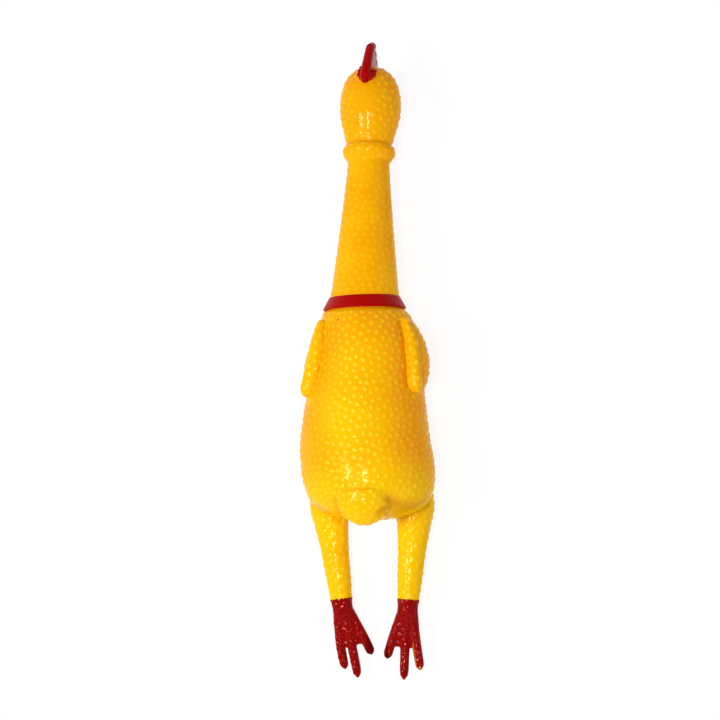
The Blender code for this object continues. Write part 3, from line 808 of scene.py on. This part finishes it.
def comb_piece():
    """Single comb: a blade, a thick rounded rear edge and small warts at its root."""
    mesh = comb_blade()
    rear = (  # x, y, height above the spine and radius
        (-0.0014, 0.1735, 0.0170, 0.0032), (-0.0012, 0.1765, 0.0170, 0.0037),
        (-0.0009, 0.1830, 0.0152, 0.0034), (-0.0004, 0.1900, 0.0122, 0.0031),
        (0.0001, 0.1956, 0.0090, 0.0030), (0.0006, 0.1976, 0.0052, 0.0029),
    )
    for (x0, y0, z0, r0), (x1, y1, z1, r1) in zip(rear, rear[1:]):
        for t in spread(0.0, 1.0, 4):
            place = (x0 + (x1 - x0) * t, y0 + (y1 - y0) * t, SPINE_Z + z0 + (z1 - z0) * t)
            add_ball(mesh, place, r0 + (r1 - r0) * t)
    warts = (  # x, y, height above the spine and radius
        (-0.0050, 0.1792, 0.0138, 0.0019), (-0.0056, 0.1770, 0.0136, 0.0018),
        (-0.0040, 0.1748, 0.0158, 0.0019), (-0.0014, 0.1726, 0.0188, 0.0019),
        (0.0016, 0.1738, 0.0184, 0.0018), (0.0036, 0.1762, 0.0166, 0.0017),
        (-0.0046, 0.1815, 0.0130, 0.0016), (0.0040, 0.1790, 0.0150, 0.0015),
    )
    for x, y, z, radius in warts:
        add_ball(mesh, (x, y, SPINE_Z + z), radius)
    bmesh.ops.recalc_face_normals(mesh, faces=mesh.faces)
    return on_head(object_from(mesh, "comb_look"), voxel=0.00040, rounds=8)


def swept(name, path, end):
    """Closed body through (x, y, depth, half width, half height) sections, facing -Z."""
    points = [Vector((x, y, SPINE_Z - depth)) for x, y, depth, _, _ in path]
    rings = []
    for i, (centre, section) in enumerate(zip(points, path)):
        along = (points[min(i + 1, len(points) - 1)] - points[max(i - 1, 0)]).normalized()
        rings.append(ring(centre, along, section[3], section[4], 40, up=FORWARD))
    return lofted(name, rings, end=end)


def beak_pieces():
    """Upper and lower beak, a little open."""
    upper = swept(
        "beak_upper_look",
        ((0, 0.1650, 0.0120, 0.0098, 0.0060), (0, 0.1662, 0.0190, 0.0092, 0.0055),
         (0, 0.1666, 0.0250, 0.0076, 0.0047), (0, 0.1660, 0.0310, 0.0054, 0.0037),
         (0, 0.1642, 0.0360, 0.0032, 0.0025), (0, 0.1622, 0.0388, 0.0016, 0.0014)),
        Vector((0, 0.1612, SPINE_Z - 0.0398)),
    )
    lower = swept(
        "beak_lower_look",
        ((0, 0.1516, 0.0130, 0.0084, 0.0034), (0, 0.1500, 0.0200, 0.0076, 0.0033),
         (0, 0.1486, 0.0260, 0.0060, 0.0028), (0, 0.1476, 0.0310, 0.0038, 0.0021),
         (0, 0.1469, 0.0345, 0.0018, 0.0013)),
        Vector((0, 0.1466, SPINE_Z - 0.0358)),
    )
    return [on_head(upper), on_head(lower)]


# painted shade: a near-black body between the beaks stands for the shaded inside of the open
# mouth
def mouth_shade_piece():
    dark_mouth = swept(
        "mouth_look",
        ((0, 0.1578, 0.0130, 0.0078, 0.0046), (0, 0.1576, 0.0185, 0.0076, 0.0044),
         (0, 0.1574, 0.0215, 0.0060, 0.0034)),
        Vector((0, 0.1573, SPINE_Z - 0.0224)),
    )
    return on_head(dark_mouth)


def wattle_piece(side):
    """Drop-shaped lobe that hangs under the beak."""
    middle = (SIDES[side] * 0.0050, SPINE_Z - 0.0222)
    # y, half width and half depth
    sizes = ((0.1500, 0.0018, 0.0018), (0.1462, 0.0026, 0.0024), (0.1410, 0.0038, 0.0030),
             (0.1350, 0.0047, 0.0033), (0.1305, 0.0042, 0.0029), (0.1278, 0.0024, 0.0018))
    rings = [
        ring(Vector((middle[0], y, middle[1])), -FORWARD, width, depth, 32)
        for y, width, depth in sizes
    ]
    end = Vector((middle[0], 0.1268, middle[1]))
    return on_head(lofted(f"wattle_{side}_look", rings, end=end))


def eye_piece(side, white, black):
    """Raised painted eye with a dark pupil."""
    s = SIDES[side]
    out = Vector((s * 0.80, 0.08, -0.60)).normalized()
    centre = Vector((s * 0.0136, 0.1660, SPINE_Z - 0.0130))
    rings = [ring(centre - out * 0.002, out, EYE_RADIUS, EYE_RADIUS, 40)]
    for turn in spread(0, 84, 15):
        a = math.radians(turn)
        radius = EYE_RADIUS * math.cos(a)
        rings.append(ring(centre + out * (EYE_RISE * math.sin(a)), out, radius, radius, 40))
    eye = bake(lofted(f"eye_{side}_look", rings), neck_frame())
    eye.data.shade_smooth()
    eye.data.materials.append(white)
    eye.data.materials.append(black)
    middle = neck_frame() @ (centre + out * EYE_RISE)
    for polygon in eye.data.polygons:
        polygon.material_index = int((polygon.center - middle).length < PUPIL_RADIUS)
    return eye


def collar_piece():
    """Flared band, with a thin raised lip at its lower edge."""
    # y and radius, round the band's closed section
    profile = ((0.0393, 0.0190), (0.0394, 0.0213), (0.0389, 0.0220), (0.0381, 0.0224),
               (0.0358, 0.0236), (0.0336, 0.0248), (0.0325, 0.0254), (0.0318, 0.0257),
               (0.0313, 0.0256), (0.0311, 0.0249), (0.0313, 0.0200))
    rings = [ring(Vector((0, y, SPINE_Z)), FORWARD, r, r, 160) for y, r in profile]
    for point in (p for points in rings for p in points):
        point.y -= COLLAR_TILT * (point.z - SPINE_Z)
    mesh = bmesh.new()
    rows = [[mesh.verts.new(p) for p in points] for points in rings]
    bridge(mesh, rows + rows[:1])
    bmesh.ops.recalc_face_normals(mesh, faces=mesh.faces)
    collar = object_from(mesh, "collar_look")
    rounder = collar.modifiers.new("round", "SUBSURF")
    rounder.levels = 1
    rounder.render_levels = 1
    collar.data.shade_smooth()
    return collar


# ---------------------------------------------------------------- materials

PAINT_RANGE = (-5.0, 6.0)  # millimetres from the paint's edge that are told apart


def material_of(name, colour, roughness, **inputs):
    """Principled material, whose other inputs are named with _ for each space."""
    material = bpy.data.materials.new(name)
    material.use_nodes = True
    shader = material.node_tree.nodes["Principled BSDF"]
    shader.inputs["Base Color"].default_value = (*colour, 1.0)
    shader.inputs["Roughness"].default_value = roughness
    for key, value in inputs.items():
        shader.inputs[key.replace("_", " ")].default_value = value
    return material


def plug(tree, value, socket):
    """Feeds a socket from another one, or sets it to a plain value."""
    if isinstance(value, bpy.types.NodeSocket):
        tree.links.new(value, socket)
    else:
        socket.default_value = value


def ranged(tree, source, low, high, kind="SMOOTHSTEP"):
    """Change from low = (input, output) to high, smooth unless kind says otherwise."""
    node = tree.nodes.new("ShaderNodeMapRange")
    node.interpolation_type = kind
    node.inputs["From Min"].default_value, node.inputs["To Min"].default_value = low
    node.inputs["From Max"].default_value, node.inputs["To Max"].default_value = high
    tree.links.new(source, node.inputs["Value"])
    return node.outputs["Result"]


def worked_out(tree, operation, *values):
    """Result of a maths node."""
    node = tree.nodes.new("ShaderNodeMath")
    node.operation = operation
    for value, socket in zip(values, node.inputs):
        plug(tree, value, socket)
    return node.outputs["Value"]


def mixed(tree, factor, first, second, blend="MIX"):
    """Colour from first at factor 0 to second at factor 1."""
    node = tree.nodes.new("ShaderNodeMix")
    node.data_type = "RGBA"
    node.blend_type = blend
    for value, socket in ((factor, 0), (first, 6), (second, 7)):  # the colour sockets
        plug(tree, value, node.inputs[socket])
    return node.outputs[2]


def stored(tree, name):
    """Value that store() keeps on the skin under this name."""
    node = tree.nodes.new("ShaderNodeAttribute")
    node.attribute_name = name
    return node.outputs["Fac"]


def coordinates(tree, kind):
    """Coordinates of this kind, whole and as separate axes."""
    place = tree.nodes.new("ShaderNodeTexCoord").outputs[kind]
    split = tree.nodes.new("ShaderNodeSeparateXYZ")
    tree.links.new(place, split.inputs["Vector"])
    return place, split.outputs


def noise(tree, place, scale, detail):
    node = tree.nodes.new("ShaderNodeTexNoise")
    node.inputs["Scale"].default_value = scale
    node.inputs["Detail"].default_value = detail
    tree.links.new(place, node.inputs["Vector"])
    return node.outputs["Fac"]


def vinyl_colour_and_light(tree, place, axes):
    """Yellow vinyl: blotchy, with painted light that makes it paler towards the feet."""
    # painted light: paler towards the feet, where the light on the bird is brighter
    towards_feet = ranged(tree, axes["Y"], (-0.11, 0.39), (0.10, 0.15))
    paler = worked_out(tree, "MULTIPLY_ADD", noise(tree, place, 28.0, 2.0), 0.5, towards_feet)
    tint = tree.nodes.new("ShaderNodeValToRGB")
    deep, pale = tint.color_ramp.elements
    deep.position = 0.35
    deep.color = (0.96, 0.36, 0.002, 1)
    pale.position = 0.65
    pale.color = (0.99, 0.55, 0.003, 1)
    tree.links.new(paler, tint.inputs["Fac"])
    return tint.outputs["Color"]


def skin_colour(tree, place, axes, cut):
    """Vinyl with painted light on its pimple tops, painted shade on its flanks and in creases,
    and red paint.
    """
    crease = stored(tree, "crease")
    painted_crease_shade = worked_out(tree, "MULTIPLY", crease, 0.55)
    # painted shade in the vent's pin hole
    hole = ranged(tree, crease, (1.1, 0.0), (1.7, 1.0))
    colour = vinyl_colour_and_light(tree, place, axes)
    # painted light: the pimples' tops are painted lighter, as where light catches them
    colour = mixed(tree, stored(tree, "pimple"), colour, (0.99, 0.62, 0.006, 1))
    # painted shade: the flanks are painted more orange, as where they turn from the light
    colour = mixed(tree, stored(tree, "flank_shade"), colour, (1.0, 0.78, 0.80, 1), "MULTIPLY")
    # painted shade: the creases are painted a deeper orange, as where shade falls in them
    colour = mixed(tree, painted_crease_shade, colour, (0.62, 0.19, 0.001, 1))
    # painted shade: the pin hole is painted nearly black, as shade in it
    colour = mixed(tree, hole, colour, (0.05, 0.015, 0.001, 1))
    return mixed(tree, cut, colour, (0.28, 0.0015, 0.0015, 1))


def skin_material():
    """Yellow vinyl, with glossier red paint where the paint value is high."""
    material = material_of(
        "skin_vinyl", (0.93, 0.40, 0.003), 0.15, IOR=1.33,
        Subsurface_Weight=0.10, Subsurface_Radius=(1.0, 0.45, 0.05), Subsurface_Scale=0.002,
    )
    tree = material.node_tree
    place, axes = coordinates(tree, "Object")
    edge = noise(tree, place, 900.0, 1.0)
    ragged = worked_out(tree, "MULTIPLY_ADD", edge, 1.6, stored(tree, "paint"))
    cut = ranged(tree, ragged, (0.55, 0.0), (1.05, 1.0), kind="LINEAR")
    slant = tree.nodes.new("ShaderNodeLayerWeight").outputs["Facing"]
    sources = {
        "Base Color": skin_colour(tree, place, axes, cut),
        "Roughness": ranged(tree, cut, (0.0, 0.15), (1.0, 0.07)),
        "IOR": ranged(tree, cut, (0.0, 1.33), (1.0, 1.38)),
        "Specular Tint": mixed(tree, cut, (1.0, 0.80, 0.35, 1), (1.0, 0.42, 0.36, 1)),
        "Specular IOR Level": ranged(tree, slant, (0.10, 0.52), (0.44, 0.05)),
    }
    for key, source in sources.items():
        tree.links.new(source, tree.nodes["Principled BSDF"].inputs[key])
    return material


def worn_paint(points, side):
    """Paint worn off the outer toe, along its edge and at its tip, in millimetres."""
    local = moved(points, (leg_frame(side) @ foot_turn(side)).inverted())
    toe = toe_line(side, "outer")
    edge = [(p.x - 0.0020, p.y) for p in toe[8:]]
    tip = [(p.x, p.y) for p in toe[-2:]]
    worn = 6.05 * hump(near_line(local, edge), 0.0011)
    worn = np.maximum(worn, 5.95 * hump(near_line(local, tip), 0.0026))
    return worn * (local[:, 2] > toe[-1].z)


def store_paint(mesh, points):
    """How far beyond its paint line each point is, in millimetres."""
    paint = np.full(len(points), PAINT_RANGE[0])
    for side in SIDES:
        distance = leg_distance(points, side)
        painted = np.clip((distance - ANKLE[0]) * 1000, *PAINT_RANGE)
        if side == "right":
            painted -= worn_paint(points, side)
        near = distance > 0.040
        paint[near] = painted[near]
    store(mesh, "paint", paint)


# ---------------------------------------------------------------- assembly

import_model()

for leftover in [o for o in bpy.data.objects if o.name in ("Cube", "Light", "Camera")]:
    bpy.data.objects.remove(leftover)

SKIN = skin_material()
RED = material_of("red_paint", (0.38, 0.0015, 0.0020), 0.28, IOR=1.14)
COLLAR_RED = material_of("collar_paint", (0.42, 0.0015, 0.0012), 0.34, IOR=1.13)
ORANGE = material_of("beak_paint", (0.86, 0.22, 0.006), 0.28)
# painted shade for the inside of the open mouth
MOUTH_SHADE = material_of("mouth_shade", (0.12, 0.004, 0.006), 0.4)
WHITE = material_of("eye_white", (0.85, 0.85, 0.80), 0.2)
BLACK = material_of("eye_black", (0.01, 0.01, 0.012), 0.15)

skin = skin_body()
skin_points = add_pimples(skin)
store_paint(skin, skin_points)
skin_normals = normals_of(skin)
shares = divide(skin, skin_points)
pieces = {
    name: piece_of(skin, name, mask, skin_normals, SKIN) for name, mask in shares.items()
}
face = {"collar": collar_piece(), "comb": comb_piece(), "mouth": mouth_shade_piece()}
face["upper"], face["lower"] = beak_pieces()
for side in SIDES:
    face["wattle_" + side] = wattle_piece(side)
    face["eye_" + side] = eye_piece(side, WHITE, BLACK)
for name, material in (
    ("collar", COLLAR_RED), ("comb", RED), ("mouth", MOUTH_SHADE), ("upper", ORANGE),
    ("lower", ORANGE), ("wattle_left", RED), ("wattle_right", RED),
):
    face[name].data.materials.append(material)

to_frame = Matrix.Translation((0, -MIDDLE_Y, 0))
for obj in (*pieces.values(), *face.values()):
    obj.data.transform(to_frame)


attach(pieces["skin_torso"], "torso")
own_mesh(pieces["skin_belly"])
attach(pieces["skin_belly"], "torso")
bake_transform(pieces["skin_lower_neck"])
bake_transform(pieces["skin_upper_neck"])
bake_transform(pieces["skin_head"])
for side in SIDES:
    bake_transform(pieces["skin_hip_" + side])
    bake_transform(pieces["skin_shank_" + side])
    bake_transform(pieces["skin_foot_" + side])
for name, obj in face.items():
    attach(obj, "torso" if name == "collar" else "head")

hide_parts("back_shell", "tail", "wing_left", "wing_right",
            "haunch_left", "haunch_right")
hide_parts("breast_panel")
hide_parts("neck_root", "neck_middle")
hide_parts("neck_bend", "neck_top", "throat_ring")
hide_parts("nape", "head_shell")
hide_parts("neck_collar")
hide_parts("comb")
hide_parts("upper_beak")
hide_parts("lower_beak")
for side in SIDES:
    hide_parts("hip_" + side)
    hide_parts("thigh_" + side, "shank_" + side)
    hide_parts("ankle_" + side, "foot_" + side)
    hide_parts("wattle_" + side)
    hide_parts("eye_" + side)


# ---------------------------------------------------------------- floor, light and camera

CAMERA_SIDE = Vector((0.122, -0.165, 0.979))  # where the camera stands, seen from the bird
CAMERA_DISTANCE = 1.5
CAMERA_ROLL = math.radians(1.0)


def make_floor():
    """Pale table that glows evenly, just under the bird."""
    mesh = bmesh.new()
    bmesh.ops.create_grid(mesh, x_segments=1, y_segments=1, size=6.0)
    floor = object_from(mesh, "floor")
    floor.location.z = -0.0002
    floor.data.materials.append(material_of(
        "floor_white", (0.12, 0.12, 0.12), 0.9,
        Emission_Strength=0.90, Emission_Color=(1, 1, 1, 1),
    ))


def area_light(name, direction, distance, size, power):
    """Rectangular light that stands in this direction and faces the bird."""
    data = bpy.data.lights.new(name, "AREA")
    data.shape = "RECTANGLE"
    data.size, data.size_y = size
    data.energy = power
    light = bpy.data.objects.new(name, data)
    light.location = Vector(direction).normalized() * distance
    light.rotation_euler = Vector(direction).to_track_quat("Z", "Y").to_euler()
    bpy.context.scene.collection.objects.link(light)


def make_world():
    """Studio surround: white screens all round, brighter on the left, and dark overhead."""
    world = bpy.data.worlds.new("studio")
    world.use_nodes = True
    tree = world.node_tree
    _, axes = coordinates(tree, "Generated")
    by_height = ranged(tree, axes["Z"], (0.35, 0.66), (0.70, 0.04))
    by_side = ranged(tree, axes["X"], (-0.9, 0.90), (0.9, 0.84))
    strength = worked_out(tree, "MULTIPLY", by_height, by_side)
    tree.links.new(strength, tree.nodes["Background"].inputs["Strength"])
    tree.nodes["Background"].inputs["Color"].default_value = (1, 1, 1, 1)
    bpy.context.scene.world = world


def make_light():
    make_world()
    area_light("window", (-0.50, -0.13, 0.86), 1.5, (0.36, 0.32), 11.0)
    area_light("top", (0.00, -0.22, 0.975), 1.6, (0.08, 0.50), 11.5)


def make_camera():
    """Long lens, high over the bird, a little below it and to its right."""
    data = bpy.data.cameras.new("camera")
    data.sensor_width = 36.0
    data.lens = 122.0
    camera = bpy.data.objects.new("camera", data)
    bpy.context.scene.collection.objects.link(camera)
    towards = CAMERA_SIDE.normalized()
    up = Vector((math.sin(CAMERA_ROLL), math.cos(CAMERA_ROLL), 0))
    across = up.cross(towards).normalized()
    top = towards.cross(across)
    turn = Matrix((across, top, towards)).transposed()
    middle = Vector((-0.0034, -MIDDLE_Y, SPINE_Z))
    at = Matrix.Translation(middle + towards * CAMERA_DISTANCE)
    camera.matrix_world = at @ turn.to_4x4()
    bpy.context.scene.camera = camera


make_floor()
make_light()
make_camera()
bpy.context.scene.view_settings.view_transform = "Standard"
